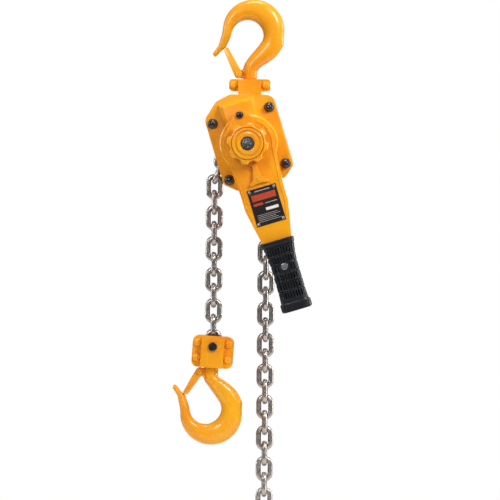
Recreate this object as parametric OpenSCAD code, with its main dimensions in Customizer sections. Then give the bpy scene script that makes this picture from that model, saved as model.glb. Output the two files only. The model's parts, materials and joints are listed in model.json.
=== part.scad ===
// Lever chain hoist, hanging from its top hook with the body, lever and chains at rest.
// Origin: the load point inside the top hook. X is across, -Y is the front, +Z is up.
// Depths along the drive shaft are counted from the chain's middle plane, positive to the front.

/* [Chain] */
// Diameter of the load chain's wire
wire_d = 8; // [6.6:0.1:9.6]
// Inside length of one link, which is the chain's pitch
pitch = 24; // [20:0.5:29]
// Inside width of one link
link_in_w = 10.5; // [10:0.1:12.6]
// Links hanging straight between the body and the bottom yoke, an odd number
hook_links = 11; // [5:2:21]
// Links in the free end, from the sheave to the end ring
tail_links = 26; // [10:2:30]
// How far the chain leans out as it leaves the sheave, in degrees
lead_tilt = 19.2; // [15:0.1:22]

/* [Body] */
// Lean of the whole body and lever, in degrees
body_tilt = 17; // [0:1:20]
// Distance of each stay bolt from the shaft, across and along the body
stay_reach = 45.3; // [44:0.1:56]
// Plate that stands out past the stay bolts
plate_edge = 10.5; // [9:0.5:14]
// Thickness of each side plate
plate_t = 5; // [4:0.5:6]
// Thickness of the pressed brake cover and gear case
cover_t = 2.5; // [2:0.1:3]
// Radius of the stay bolts
stay_r = 4; // [3.5:0.1:4.8]
// Radius of the top pin that the body hangs on
pin_r = 6; // [5:0.1:7.2]

/* [Brake] */
// Radius of the ratchet disc over its teeth
ratchet_r = 38; // [36:0.5:38]
// Thickness of each friction disc
lining_t = 2.8; // [2:0.1:3.4]
// Thickness of the ratchet disc
ratchet_t = 5; // [4:0.5:6]
// Radius of the drum that stands out of the brake cover
drum_r = 45; // [44:0.5:47]

/* [Lever] */
// Length of the lever from the shaft to the end of the grip
lever_length = 267; // [222:1:321]
// Length of the rubber grip
grip_length = 112; // [90:1:135]
// Half the width of the arm under the nameplate
arm_half_w = 34; // [30:0.5:38]
// Radius of the lever case around the shaft
case_r = 41; // [39:0.5:44]
// Thickness of the lever case between its two faces
case_t = 18.5; // [18:0.5:22]
// Thickness of the grip
grip_t = 28; // [26:1:34]
// Radius of the free wheel knob over its lobes
knob_r = 32.5; // [29:0.5:36]

/* [Hooks] */
// Radius inside the hook's bowl
bowl_r = 24.8; // [23:0.1:26]
// Radius of the hook's shank
shank_r = 10.9; // [10:0.1:12]
// From the load point down to the top yoke
top_neck = 91; // [89:0.5:109]
// From the load point up to the bottom yoke
bottom_neck = 87; // [85:0.5:104]

/* [Hidden] */
$fn = 72;

// Paint and metal colours
paint = [0.96, 0.62, 0.07];
nickel = [0.66, 0.62, 0.56];
steel = [0.55, 0.56, 0.58];
black = [0.06, 0.06, 0.07];

// Clearances
run = 0.05;      // a shaft in its bore
gap = 0.3;       // two faces that pass each other
slack = 0.25;    // between one link and the next, at rest

// Chain and sheave
link_out_w = link_in_w + 2 * wire_d;
bend_r = (link_in_w + wire_d) / 2;
straight = pitch + wire_d - 2 * bend_r + slack;
pockets = 4;
// A link that lies flat in a pocket turns about the round ends of its standing neighbours
flat_span = 2 * pitch - straight;
flat_angle = atan(flat_span * sin(180 / pockets) / (straight + flat_span * cos(180 / pockets)));
wrap_r = flat_span / 2 / sin(flat_angle);
flat_seat = wrap_r * cos(flat_angle);
standing_seat = wrap_r * cos(180 / pockets - flat_angle);
lead_length = 2 * flat_span + straight;
out_r = wrap_r + bend_r + wire_d / 2;
groove_w = wire_d + 1.5;
pocket_w = link_out_w + 0.7;
rim_w = 3.4;
sheave_half = pocket_w / 2 + rim_w;
sheave_r = out_r - 7.5;
pocket_floor = flat_seat - wire_d / 2 - 0.6;
pocket_half = pitch / 2 + wire_d + 0.8;
groove_floor = standing_seat - link_out_w / 2 - 0.7;

// Depths from the chain's plane
plate_in = sheave_half + 1;
plate_out = plate_in + plate_t;
flange_out = plate_out + cover_t;
hub_in = plate_out + 1;
hub_out = hub_in + 4;
ratchet_in = hub_out + lining_t + gap;
ratchet_out = ratchet_in + ratchet_t;
lining_in = ratchet_out + gap;
nut_in = lining_in + lining_t;
nut_out = nut_in + 4;
panel_out = nut_in + 0.3;
drum_out = nut_out + 3.3 + cover_t;
case_in = drum_out + 1.5;
case_out = case_in + case_t;
wheel_in = case_in + 4;
wheel_out = wheel_in + 7.5;
knob_in = case_out + 9;
knob_out = knob_in + 20;
arm_mid = (case_in + case_out) / 2;

// Body
half_w = stay_reach + plate_edge;
lug_r = pin_r + 8;
pin_angle = 73.3;
pin_reach = max(59.8, out_r + 2.6 + lug_r);
pin_u = pin_reach * cos(pin_angle);
pin_v = pin_reach * sin(pin_angle);
top_pin_z = -top_neck - 38;
body_x = -(pin_u * cos(body_tilt) - pin_v * sin(body_tilt));
body_z = top_pin_z - (pin_u * sin(body_tilt) + pin_v * cos(body_tilt));
stays = [for (u = [-1, 1], v = [-1, 1]) [u * stay_reach, v * stay_reach]];
spacer_r = stay_r + 2.5;

// Bearings and shaft
shaft_r = 7;
journal_r = 13.5;
bearing_r = 17;

// Gears
module_mm = 1.5;
small_z = 12;
large_z = 34;
gear_d = module_mm * (small_z + large_z) / 2;
large_tip = module_mm * (large_z / 2 + 1);
face_w = 9;
load_gear_in = plate_out + 2;
load_gear_out = load_gear_in + face_w;
first_in = load_gear_out + 3;
first_out = first_in + 7;
gear_case_in = first_out + 2.5;
gear_case_out = gear_case_in + cover_t;
gear_case_r = large_tip + 2 + cover_t;
gear_axle_r = 5;
plate_foot = max(70, gear_d + gear_case_r + 3);

// Ratchet and pawls
teeth = 12;
tooth_h = 4.5;
face_angle = 80;
pawl_at = [-14, ratchet_r + 12];
pawl_eye_r = 6.5;
pawl_pin_r = 4;

// Lever
plate_top_v = -70;       // top of the nameplate
plate_w = 46;
plate_h = 58;
shoulder_v = -100;       // where the arm starts to narrow
wrist_v = -(lever_length - grip_length);
wrist_half_w = 23;
lobe_at = [0, case_r + 4.7];
lobe_r = 8.5;
case_wall = 3;
grip_in = arm_mid - grip_t / 2;
grip_out = arm_mid + grip_t / 2;
core_half_w = 14;
selector_at = [0, -50];
engage_turn = 11;        // from neutral to raising or lowering
wheel_r = 17;
shaft_end = knob_out + 4;
thread_r = 4.5;
washer_in = shaft_end - 11;
recess_r = 10.4;

// Hooks
bowl_at = [-4.6, -24.4];
hook_half_t = 12;
stem_r = 9;
latch_drop = 7.4;
latch_pin_r = 3;
lug_half = 5;
lug_front = 1.4;
bottom_pin_rise = 33;
bottom_tilt = 4;

// ---------- helpers ----------

// A flat shape drawn across and up, made solid between two depths
module slab(back, front) translate([0, -back, 0]) rotate([90, 0, 0]) linear_extrude(front - back) children();

// A round bar or a round hole between two depths
module rod(back, front, r) slab(back, front) circle(r);

// A turned piece: points are radius and depth
module turned(points) rotate([90, 0, 0]) rotate_extrude() polygon(points);

// Places what is drawn in the body's own directions
module in_body() translate([body_x, 0, body_z]) rotate([0, -body_tilt, 0]) children();

// Moves a shape to a place across and up
module at(p) translate([p[0], 0, p[1]]) children();

// The corners of an outline, each [x, y, radius], rounded into short steps
function corner_arc(a, b, c, steps = 5) =
    let (to_a = [a[0] - b[0], a[1] - b[1]], to_c = [c[0] - b[0], c[1] - b[1]],
         ua = to_a / norm(to_a), uc = to_c / norm(to_c),
         half = acos(min(1, max(-1, ua * uc))) / 2,
         mid = (ua + uc) / norm(ua + uc),
         centre = [b[0], b[1]] + mid * b[2] / sin(half),
         from = -mid, side = (ua[0] * uc[1] - ua[1] * uc[0]) > 0 ? 1 : -1)
    [for (i = [0:steps]) let (t = side * (90 - half) * (1 - 2 * i / steps))
        centre + b[2] * [from[0] * cos(t) - from[1] * sin(t), from[0] * sin(t) + from[1] * cos(t)]];
function rounded(c) = let (n = len(c)) [for (i = [0:n - 1]) each corner_arc(c[(i + n - 1) % n], c[i], c[(i + 1) % n])];

// An involute gear's outline, with a tooth on the first axis
function involute(base, t) = base * [cos(t) + t * PI / 180 * sin(t), sin(t) - t * PI / 180 * cos(t)];
function turn(p, a) = [p[0] * cos(a) - p[1] * sin(a), p[0] * sin(a) + p[1] * cos(a)];
function flip(p) = [p[0], -p[1]];
module gear_outline(z) {
    pressure = 25;
    pitch_r = module_mm * z / 2;
    base = pitch_r * cos(pressure);
    tip = pitch_r + module_mm * 0.95;
    root = pitch_r - module_mm * 1.2;
    start = max(base, root + 0.05);
    half = 90 / z - 0.1 / pitch_r * 180 / PI + (tan(pressure) * 180 / PI - pressure);
    function at_r(r) = let (t = sqrt(pow(r / base, 2) - 1) * 180 / PI) turn(involute(base, t), -half);
    flank = [for (i = [0:3]) at_r(start + (tip - start) * i / 3)];
    gap_half = 180 / z;
    low = turn([root, 0], -max(atan2(-flank[0][1], flank[0][0]), gap_half * 0.55));
    one = concat([low], flank, [for (i = [3:-1:0]) flip(flank[i])], [flip(low)]);
    polygon([for (k = [0:z - 1], p = one) turn(p, 360 * k / z)]);
}
module gear(z, back, front, first) slab(back, front) rotate(first) gear_outline(z);

// A round wire along points, closed at both ends
module wire(path, r, sides = 8) {
    n = len(path);
    function along(i) = let (d = path[min(i + 1, n - 1)] - path[max(i - 1, 0)]) d / norm(d);
    rings = [for (i = [0:n - 1]) let (t = along(i), s = cross(t, [0, 1, 0.001]), a = s / norm(s), b = cross(t, a))
        for (k = [0:sides - 1]) path[i] + r * (cos(360 * k / sides) * a + sin(360 * k / sides) * b)];
    walls = [for (i = [0:n - 2], k = [0:sides - 1]) let (m = (k + 1) % sides)
        [i * sides + k, i * sides + m, (i + 1) * sides + m, (i + 1) * sides + k]];
    polyhedron(rings, concat(walls, [[for (k = [sides - 1:-1:0]) k]], [[for (k = [0:sides - 1]) (n - 1) * sides + k]]));
}

// A coil about a depth-wise axis
module coil(back, front, mean_r, wire_r, turns) wire([for (i = [0:turns * 14])
    let (a = i * 360 / 14, f = back + wire_r + (front - back - 2 * wire_r) * i / (turns * 14))
    [mean_r * cos(a), -f, mean_r * sin(a)]], wire_r);

// One chain link, long axis up, drawn as face-on or edge-on
module link(flat) rotate([0, 0, flat ? 90 : 0]) for (s = [1, -1]) {
    translate([0, 0, s * straight / 2]) rotate([90, 0, 0])
        rotate([0, 0, s > 0 ? 0 : 180]) rotate_extrude(angle = 180) translate([bend_r, 0]) circle(d = wire_d);
    translate([s * bend_r, 0, -straight / 2]) cylinder(d = wire_d, h = straight);
}

// A straight run of links down from a point
module strand(count, first_flat) for (i = [0:count - 1])
    translate([0, 0, -(first_flat ? flat_span : straight) / 2 - pitch * i]) link((i + (first_flat ? 1 : 0)) % 2 == 1);

// A domed rivet or nut head on a face at a depth, pointing to the front
module head(p, face, r, h) at(p) turned([
    [0, face], [r, face], [r, face + h * 0.45], [r * 0.86, face + h * 0.78], [r * 0.5, face + h], [0, face + h]]);

// ---------- hooks ----------

// The forged hook as pairs of points across its thickness, [inside, outside, half depth],
// from the point round the bowl to the shank. The neck moves the last pairs.
outer_at = [5, -15];
outer_r = 48;
function bowl_pair(a) = let (dir = [cos(a), sin(a)], ecc = outer_at - bowl_at,
    reach = ecc * dir + sqrt(outer_r * outer_r - pow(ecc[0] * dir[1] - ecc[1] * dir[0], 2)))
    [bowl_at + bowl_r * dir, bowl_at + reach * dir, hook_half_t];
function hook_pairs(neck) = let (d = [0, 91 - neck]) concat(
    [[[-54.6, -57.2], [-57.4, -55], 1.8], [[-52, -55.8], [-58.2, -51], 4.4], [[-46.2, -49], [-53, -43.8], 7],
     [[-37.8, -42], [-49, -38.2], 8.6], [[-33.2, -32], [-46.8, -29.5], 10.2], [[-30, -24.4], [-44.6, -22.5], 11.4]],
    [for (a = [165:-7.5:0]) bowl_pair(a)],
    [[[18.2, -31.5], [52.2, -36.5], 12], [[14, -37.5], [46.2, -47.5], 12], [[8.6, -44], [38.8, -57], 12],
     [[2.8, -51], [29.8, -63.8], 12], [[-3.2, -58.2], [20.8, -69.2], 11.7],
     [[-8.4, -66] + d / 2, [14.4, -74.2] + d / 2, 11.3], [[-10.9, -73.6] + d, [11.4, -78.4] + d, 11],
     [[-10.6, -80] + d, [10.6, -82] + d, 10.6]]);
module sweep_pairs(pairs, sides) {
    n = len(pairs);
    rings = [for (p = pairs, k = [0:sides - 1]) let (a = 360 * k / sides, m = (p[0] + p[1]) / 2,
        h = (p[1] - p[0]) / 2 * cos(a)) [m[0] + h[0], p[2] * sin(a), m[1] + h[1]]];
    walls = [for (i = [0:n - 2], k = [0:sides - 1]) let (m = (k + 1) % sides)
        each [[i * sides + k, (i + 1) * sides + m, (i + 1) * sides + k], [i * sides + k, i * sides + m, (i + 1) * sides + m]]];
    polyhedron(rings, concat(walls, [[for (k = [sides - 1:-1:0]) k]],
        [[for (k = [0:sides - 1]) (n - 1) * sides + k]]));
}
module hook(neck) difference() {
    union() {
        sweep_pairs(hook_pairs(neck), 24);
        translate([0, 0, -neck + gap]) cylinder(r = shank_r, h = 14);
        translate([0, 0, -neck - 9]) cylinder(r = stem_r, h = 20);
        translate([0, 0, -neck - 16]) cylinder(r = stem_r + 4, h = 7.7);
        slab(-lug_half, lug_front) {
            translate(latch_pivot(neck)) circle(5.8);
            polygon([latch_pivot(neck) + [0.6, -5.7], [0, -neck + gap + 0.6], [0, -neck + latch_drop + 12],
                latch_pivot(neck) + [-1.5, 5.4]]);
        }
    }
    at(latch_pivot(neck)) rod(-20, 20, latch_pin_r);
}
function latch_pivot(neck) = [-18, -neck + latch_drop];

// Spring latch: two cheeks on the pin and a cap that rests inside the hook's point
module latch(neck) {
    pivot = latch_pivot(neck);
    tip = [-37.6, -42.4];
    along = tip - pivot;
    len_l = norm(along);
    lean = atan2(along[1], along[0]);
    at(pivot) rotate([0, -lean, 0]) difference() {
        union() {
            for (s = [-1, 1]) slab(s > 0 ? lug_half + gap : -lug_half - gap - 2, s > 0 ? lug_half + gap + 2 : -lug_half - gap) {
                circle(6.2);
                polygon([[-1, -6.1], [len_l - 3, -3.4], [len_l + 1, 0.5], [len_l - 2, 4.6], [9, 6.1], [-1, 6.1]]);
            }
            slab(-lug_half - gap - 1, lug_half + gap + 1)
                polygon([[8.5, -5.4], [len_l - 3, -3.4], [len_l - 3, -1.2], [8.5, -3.2]]);
        }
        rod(-20, 20, latch_pin_r + run);
    }
}
module latch_pin(neck) at(latch_pivot(neck)) {
    rod(-lug_half - 2.6, lug_half + 2.6, latch_pin_r);
    for (s = [-1, 1]) slab(s > 0 ? lug_half + 2.6 : -lug_half - 4.4, s > 0 ? lug_half + 4.4 : -lug_half - 2.6) circle(4.6);
}
module latch_spring(neck) at(latch_pivot(neck)) coil(lug_front + 0.2, lug_half, latch_pin_r + 1, 0.5, 2);

// ---------- yokes ----------

// One half of the two-part holder: ears with two rivet holes, the stem's seat and a cross pin
module yoke_half(side, ears, lower, rise, hole_r, rivets) difference() {
    intersection() {
        union() {
            slab(-9, 9) polygon(ears);
            slab(-17, 17) polygon(lower);
            at([0, -rise]) rod(-17, 17, lug_r);
        }
        translate([-100, side > 0 ? -50 : 0, -200]) cube([200, 50, 400]);
    }
    translate([0, 0, -9]) cylinder(r = stem_r + run, h = 20);
    translate([0, 0, -16.3]) cylinder(r = stem_r + 4 + gap, h = 8.6);
    at([0, -rise]) rod(-30, 30, hole_r);
    for (p = rivets) at(p) rod(-30, 30, 4);
}
module rivet_row(rivets, half_t) for (p = rivets) {
    at(p) rod(-half_t, half_t, 4);
    head(p, half_t, 6, 3);
    mirror([0, 1, 0]) head(p, half_t, 6, 3);
}

top_ears = rounded([[-32, 0, 5], [32, 0, 5], [32, -19, 6], [-32, -19, 6]]);
top_lower = rounded([[-18, 0, 2], [18, 0, 2], [18, -22, 3], [lug_r, -30, 3], [lug_r, -38, 2], [-lug_r, -38, 2],
    [-lug_r, -30, 3], [-18, -22, 3]]);
top_rivets = [[-24.8, -9.5], [24.8, -9.5]];
module top_yoke(side) color(paint) translate([0, 0, -top_neck])
    yoke_half(side, top_ears, top_lower, 38, pin_r + run, top_rivets);
module top_yoke_front() top_yoke(1);
module top_yoke_back() top_yoke(-1);
module top_yoke_rivets() color(paint) translate([0, 0, -top_neck]) rivet_row(top_rivets, 9);

// The bottom block is drawn as the top one and turned over
chain_end_z = body_z + flat_span / 2 - lead_length * cos(lead_tilt);
strand_x = body_x - flat_seat - lead_length * sin(lead_tilt);
chain_pin_r = 4.5;
chain_pin_z = chain_end_z - straight / 2 - pitch * (hook_links - 0.5) + chain_pin_r + slack / 2;
module in_bottom() translate([strand_x, 0, chain_pin_z]) rotate([0, bottom_tilt, 0]) rotate([180, 0, 0])
    translate([0, 0, bottom_neck + bottom_pin_rise]) children();

bottom_ears = rounded([[-31.8, 0, 9], [31.8, 0, 9], [31.8, -49.6, 10], [-31.8, -49.6, 10]]);
bottom_rise = rounded([[-17.8, 0, 2], [17.8, 0, 2], [17.8, -49.6, 6], [-17.8, -49.6, 6]]);
bottom_rivets = [for (x = [-24, 24], z = [-14, -38]) [x, z]];
module bottom_yoke(side) color(paint) in_bottom() translate([0, 0, -bottom_neck]) difference() {
    intersection() {
        union() {
            slab(-10, 10) polygon(bottom_ears);
            slab(-19, 19) polygon(bottom_rise);
        }
        translate([-100, side > 0 ? -50 : 0, -200]) cube([200, 50, 400]);
    }
    translate([0, 0, -9]) cylinder(r = stem_r + run, h = 20);
    translate([0, 0, -16.3]) cylinder(r = stem_r + 4 + gap, h = 8.6);
    at([0, -bottom_pin_rise]) rod(-30, 30, chain_pin_r);
    for (p = bottom_rivets) at(p) rod(-30, 30, 4);
    // slot for the last link, open at the chain's side, wide enough to swing
    at([0, -bottom_pin_rise]) slab(-wire_d / 2 - 0.6, wire_d / 2 + 0.6) {
        circle(link_out_w / 2 + 3);
        polygon([[-17, 0], [17, 0], [34, -40], [-34, -40]]);
    }
    // room for the link before it, which stands across
    at([0, -bottom_pin_rise]) slab(-link_out_w / 2 - 0.8, link_out_w / 2 + 0.8)
        polygon([[-9, -5.4], [9, -5.4], [26, -60], [-26, -60]]);
}
module bottom_yoke_front() bottom_yoke(-1);
module bottom_yoke_back() bottom_yoke(1);
module bottom_yoke_rivets() color(paint) in_bottom() translate([0, 0, -bottom_neck]) rivet_row(bottom_rivets, 10);
module chain_pin() color(black) in_bottom() translate([0, 0, -bottom_neck]) at([0, -bottom_pin_rise]) {
    rod(-19, 19, chain_pin_r);
    slab(-22, -19) circle(6.8);
    slab(19, 21.5) circle(6.8);
}

module top_hook() color(paint) hook(top_neck);
module top_latch() color(paint) latch(top_neck);
module top_latch_pin() color(paint) latch_pin(top_neck);
module top_latch_spring() color(steel) latch_spring(top_neck);
module bottom_hook() color(paint) in_bottom() hook(bottom_neck);
module bottom_latch() color(paint) in_bottom() latch(bottom_neck);
module bottom_latch_pin() color(paint) in_bottom() latch_pin(bottom_neck);
module bottom_latch_spring() color(steel) in_bottom() latch_spring(bottom_neck);

// ---------- body ----------

top_level = pin_u * sin(body_tilt) + pin_v * cos(body_tilt) + lug_r;
function top_edge(u) = (top_level - u * sin(body_tilt)) / cos(body_tilt);
plate_corners = [
    [-half_w, stay_reach + 9.2, 14], [-31, top_edge(-7) - 4.5, 18], [-7, top_edge(-7), 10],
    [half_w, top_edge(half_w), 14], [half_w, -stay_reach - 4.7, 9], [38, -plate_foot + 5, 12],
    [15, -plate_foot, 12], [-15, -plate_foot, 12], [-38, -plate_foot + 5, 12],
    [-half_w, -stay_reach - 4.7, 9]];
module plate_shape() polygon(rounded(plate_corners));
module stay_holes() for (p = stays) translate(p) circle(stay_r);
gear_axles = [[0, gear_d], [0, -gear_d]];

// Tenons of the guides and the stripper, which both plates hold
guide_mid_r = out_r + 5.3;
hook_guide = [110, 142];
tail_guide = [-4, 34];
tenon_r = 2.6;
function polar(r, a) = [r * cos(a), r * sin(a)];
tenons = [for (g = [hook_guide, tail_guide], a = [g[0] + 6, g[1] - 6]) polar(guide_mid_r, a)];
stripper_tenons = [[-21, -50], [-9, -50]];
module tenon_holes() for (p = concat(tenons, stripper_tenons)) translate(p) circle(tenon_r);

module side_plate_front() color(paint) in_body() slab(plate_in, plate_out) difference() {
    plate_shape();
    circle(bearing_r);
    stay_holes();
    translate([pin_u, pin_v]) circle(pin_r);
    translate(pawl_at) circle(pawl_pin_r);
    translate(-pawl_at) circle(pawl_pin_r);
    tenon_holes();
}
module side_plate_back() color(paint) in_body() slab(-plate_out, -plate_in) difference() {
    plate_shape();
    circle(bearing_r);
    stay_holes();
    translate([pin_u, pin_v]) circle(pin_r);
    for (p = gear_axles) translate(p) circle(gear_axle_r + run);
    tenon_holes();
}
module top_pin() color(steel) at([0, top_pin_z]) rod(-plate_out, plate_out, pin_r);

// Raised panel of the brake cover: sloping sides and ends
panel_half = 31;
panel_slope = 8;
module panel(inset, out) intersection() {
    in_w = panel_half - inset;
    top = top_edge(0) - 8 - inset;
    foot = -plate_foot + 4 + inset;
    translate([0, 0, foot]) linear_extrude(top - foot)
        polygon([[-in_w, -plate_out + 5], [in_w, -plate_out + 5], [in_w, -plate_out],
            [in_w - panel_slope, -out], [-in_w + panel_slope, -out], [-in_w, -plate_out]]);
    translate([-half_w, 0, 0]) rotate([90, 0, 90]) linear_extrude(2 * half_w)
        polygon([[-plate_out + 5, foot], [-plate_out + 5, top], [-plate_out, top],
            [-out, top - 7], [-out, foot + 4], [-plate_out, foot]]);
}
module brake_cover() color(paint) in_body() difference() {
    union() {
        slab(plate_out, flange_out) plate_shape();
        panel(0, panel_out);
        turned([[0, plate_out], [drum_r + 1.5, plate_out], [drum_r, drum_out - 2], [drum_r - 2, drum_out], [0, drum_out]]);
    }
    panel(cover_t, panel_out - cover_t);
    turned([[0, plate_out - 5], [drum_r - cover_t, plate_out - 5], [drum_r - cover_t, drum_out - cover_t], [0, drum_out - cover_t]]);
    translate([-80, -plate_out, -120]) cube([160, 20, 240]);
    rod(0, 100, 20);
    slab(0, 100) stay_holes();
}
module gear_case_shape(r) {
    for (p = gear_axles) translate(p) circle(r);
    translate([-r, -gear_d]) square([2 * r, 2 * gear_d]);
}
module gear_case() color(paint) in_body() difference() {
    union() {
        slab(-flange_out, -plate_out) plate_shape();
        slab(-gear_case_out, -flange_out) gear_case_shape(gear_case_r);
    }
    slab(-gear_case_in, 0) gear_case_shape(gear_case_r - cover_t);
    for (p = gear_axles) at(p) rod(-gear_case_out + 1, 0, gear_axle_r + run);
    slab(-100, 0) stay_holes();
}
module stay_bolts() color(steel) in_body() for (p = stays) at(p) {
    rod(-flange_out, flange_out, stay_r);
    turned([[stay_r, -plate_in], [spacer_r, -plate_in], [spacer_r, plate_in], [stay_r, plate_in]]);
}
module dome_nuts() for (p = stays) at(p) turned([
    [0, flange_out], [8, flange_out], [8, flange_out + 1.2], [6.8, flange_out + 1.4], [6.8, flange_out + 5],
    [5.6, flange_out + 8], [3, flange_out + 10], [0, flange_out + 10.6]]);
module front_dome_nuts() color(black) in_body() dome_nuts();
module back_dome_nuts() color(black) in_body() mirror([0, 1, 0]) dome_nuts();

module guide(range) color(steel) in_body() {
    n = 12;
    slab(-plate_in + 0.2, plate_in - 0.2) polygon(concat(
        [for (i = [0:n]) polar(guide_mid_r - 3.6, range[0] + (range[1] - range[0]) * i / n)],
        [for (i = [n:-1:0]) polar(guide_mid_r + 3.6, range[0] + (range[1] - range[0]) * i / n)]));
    for (a = [range[0] + 6, range[1] - 6]) at(polar(guide_mid_r, a)) rod(-plate_out, plate_out, tenon_r);
}
module hook_side_guide() guide(hook_guide);
module tail_side_guide() guide(tail_guide);
module chain_stripper() color(steel) in_body() {
    slab(-plate_in + 0.2, plate_in - 0.2) polygon([[-26, -56], [-4, -56], [-4, -44], [-26, -44]]);
    slab(-groove_w / 2 + 0.7, groove_w / 2 - 0.7)
        polygon([[-20, -45], [-6, -45], [-7, -groove_floor - 3.5], [-12, -groove_floor - 3.5]]);
    for (p = stripper_tenons) at(p) rod(-plate_out, plate_out, tenon_r);
}
module bearing() turned([[journal_r + run, plate_in], [bearing_r, plate_in], [bearing_r, plate_out], [journal_r + run, plate_out]]);
module sheave_bearing_front() color(steel) in_body() bearing();
module sheave_bearing_back() color(steel) in_body() mirror([0, 1, 0]) bearing();

// ---------- sheave and gears ----------

module load_sheave() color(steel) translate([body_x, 0, body_z]) difference() {
    turned([
        [shaft_r + run, -load_gear_out + 1], [journal_r - 1.5, -load_gear_out + 1], [journal_r - 1.5, -load_gear_in],
        [journal_r, -load_gear_in], [journal_r, -sheave_half - 0.6], [bearing_r + 3, -sheave_half - 0.6],
        [sheave_r, -sheave_half], [sheave_r, -groove_w / 2], [groove_floor, -groove_w / 2], [groove_floor, groove_w / 2],
        [sheave_r, groove_w / 2], [sheave_r, sheave_half], [bearing_r + 3, sheave_half + 0.6],
        [journal_r, sheave_half + 0.6], [journal_r, plate_out - 0.3], [shaft_r + run, plate_out - 0.3]]);
    for (a = [0:90:270]) rotate([0, a, 0])
        translate([pocket_floor, -pocket_w / 2, -pocket_half]) cube([sheave_r, pocket_w, 2 * pocket_half]);
}
module load_gear() color(steel) in_body() difference() {
    gear(large_z, -load_gear_out, -load_gear_in, 90 + 180 / large_z);
    rod(-100, 0, journal_r - 1.5);
}
module intermediate(up) color(steel) in_body() at([0, up * gear_d]) {
    gear(large_z, -first_out, -first_in, 90 + 180 / large_z);
    gear(small_z, -first_in - 0.01, -load_gear_in, 90);
    rod(-gear_case_out + 1.3, -plate_in, gear_axle_r);
}
module intermediate_gear_a() intermediate(1);
module intermediate_gear_b() intermediate(-1);
module drive_shaft() color(steel) in_body() {
    gear(small_z, -first_out - 0.5, -first_in + 0.5, 90);
    turned([[0, -first_out - 1.5], [5, -first_out - 1.5], [5, -first_in + 0.6], [shaft_r, -first_in + 0.6],
        [shaft_r, washer_in], [thread_r, washer_in], [thread_r, shaft_end], [0, shaft_end]]);
}

// ---------- brake ----------

module friction_hub() color(steel) in_body() turned([
    [shaft_r, hub_in], [36, hub_in], [36, hub_out], [14, hub_out], [14, nut_in], [shaft_r, nut_in]]);
module friction_disc_inner() color([0.25, 0.2, 0.16]) in_body()
    turned([[14, hub_out], [ratchet_r - tooth_h - 1, hub_out], [ratchet_r - tooth_h - 1, hub_out + lining_t], [14, hub_out + lining_t]]);
module friction_disc_outer() color([0.25, 0.2, 0.16]) in_body()
    turned([[14, lining_in], [ratchet_r - tooth_h - 1, lining_in], [ratchet_r - tooth_h - 1, nut_in], [14, nut_in]]);
ratchet_profile = [for (k = [0:teeth - 1], i = [0:5])
    polar(ratchet_r - tooth_h * i / 5, face_angle - 360 / teeth * (k + i / 5))];
module ratchet_disc() color(steel) in_body() slab(ratchet_in, ratchet_out) difference() {
    polygon(ratchet_profile);
    circle(14 + run);
}
module pawl_shape() {
    root = ratchet_r - tooth_h + 0.4;
    lean = -40;
    difference() {
        union() {
            translate(pawl_at) circle(pawl_eye_r);
            polygon([polar(root, face_angle + 0.6), polar(ratchet_r + 2, face_angle + 0.6),
                pawl_at + polar(pawl_eye_r, lean + 90), pawl_at + polar(pawl_eye_r, lean - 90)]);
        }
        translate(pawl_at) circle(pawl_pin_r + run);
    }
}
module pawl_a() color(steel) in_body() slab(ratchet_in, ratchet_out) pawl_shape();
module pawl_b() color(steel) in_body() slab(ratchet_in, ratchet_out) rotate(180) pawl_shape();
module pawl_pins() color(steel) in_body() for (p = [pawl_at, -pawl_at]) at(p) {
    rod(plate_in, ratchet_out + 0.6, pawl_pin_r);
    turned([[pawl_pin_r, plate_out], [6, plate_out], [6, ratchet_in - gap], [pawl_pin_r, ratchet_in - gap]]);
}
module drive_nut() color(steel) in_body() difference() {
    union() {
        turned([[shaft_r, nut_in], [36, nut_in], [36, nut_out], [18, nut_out], [18, wheel_in], [shaft_r, wheel_in]]);
        slab(wheel_in, wheel_out) difference() {
            circle(wheel_r);
            for (k = [0:teeth - 1]) rotate(-90 + 360 / teeth * k) polygon([
                [wheel_r - 3.2, -1.9], [wheel_r + 1, -3.4], [wheel_r + 1, 3.4], [wheel_r - 3.2, 1.9]]);
        }
    }
    rod(nut_in - 1, wheel_out + 1, shaft_r);
}

// ---------- lever ----------

// Outline of the case and arm, drawn in by an inset
function arc(centre, r, from, to, n) = [for (i = [0:n]) centre + polar(r, from + (to - from) * i / n)];
module lever_shape(inset, foot_v, foot_half) polygon(concat(
    arc([0, 0], case_r - inset, -20, 62, 18), arc(lobe_at, lobe_r - inset, 20, 150, 14),
    arc([0, 0], case_r - inset, 160, 200, 9),
    [[-arm_half_w + inset, plate_top_v - 5], [-arm_half_w + inset, shoulder_v], [-foot_half + inset, foot_v],
     [foot_half - inset, foot_v], [arm_half_w - inset, shoulder_v], [arm_half_w - inset, plate_top_v - 5]]));
lever_screws = [lobe_at, [-arm_half_w + 8, shoulder_v + 12], [arm_half_w - 8, shoulder_v + 12]];
core_foot = -lever_length + 9;
module lever_case_back() color(paint) in_body() difference() {
    union() {
        slab(case_in, case_in + 2.5) lever_shape(0, wrist_v, wrist_half_w);
        slab(arm_mid - 5, arm_mid + 5) polygon([[-core_half_w, wrist_v + 8], [core_half_w, wrist_v + 8],
            [core_half_w, core_foot], [-core_half_w, core_foot]]);
        slab(case_in + 2.4, arm_mid + 5) translate([-core_half_w, wrist_v + 4]) square([2 * core_half_w, 14]);
    }
    rod(0, 100, 18 + run);
    slab(0, 100) for (p = lever_screws) translate(p) circle(2.5);
    at([0, wrist_v - 42]) rod(0, 120, 3);
}
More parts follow.
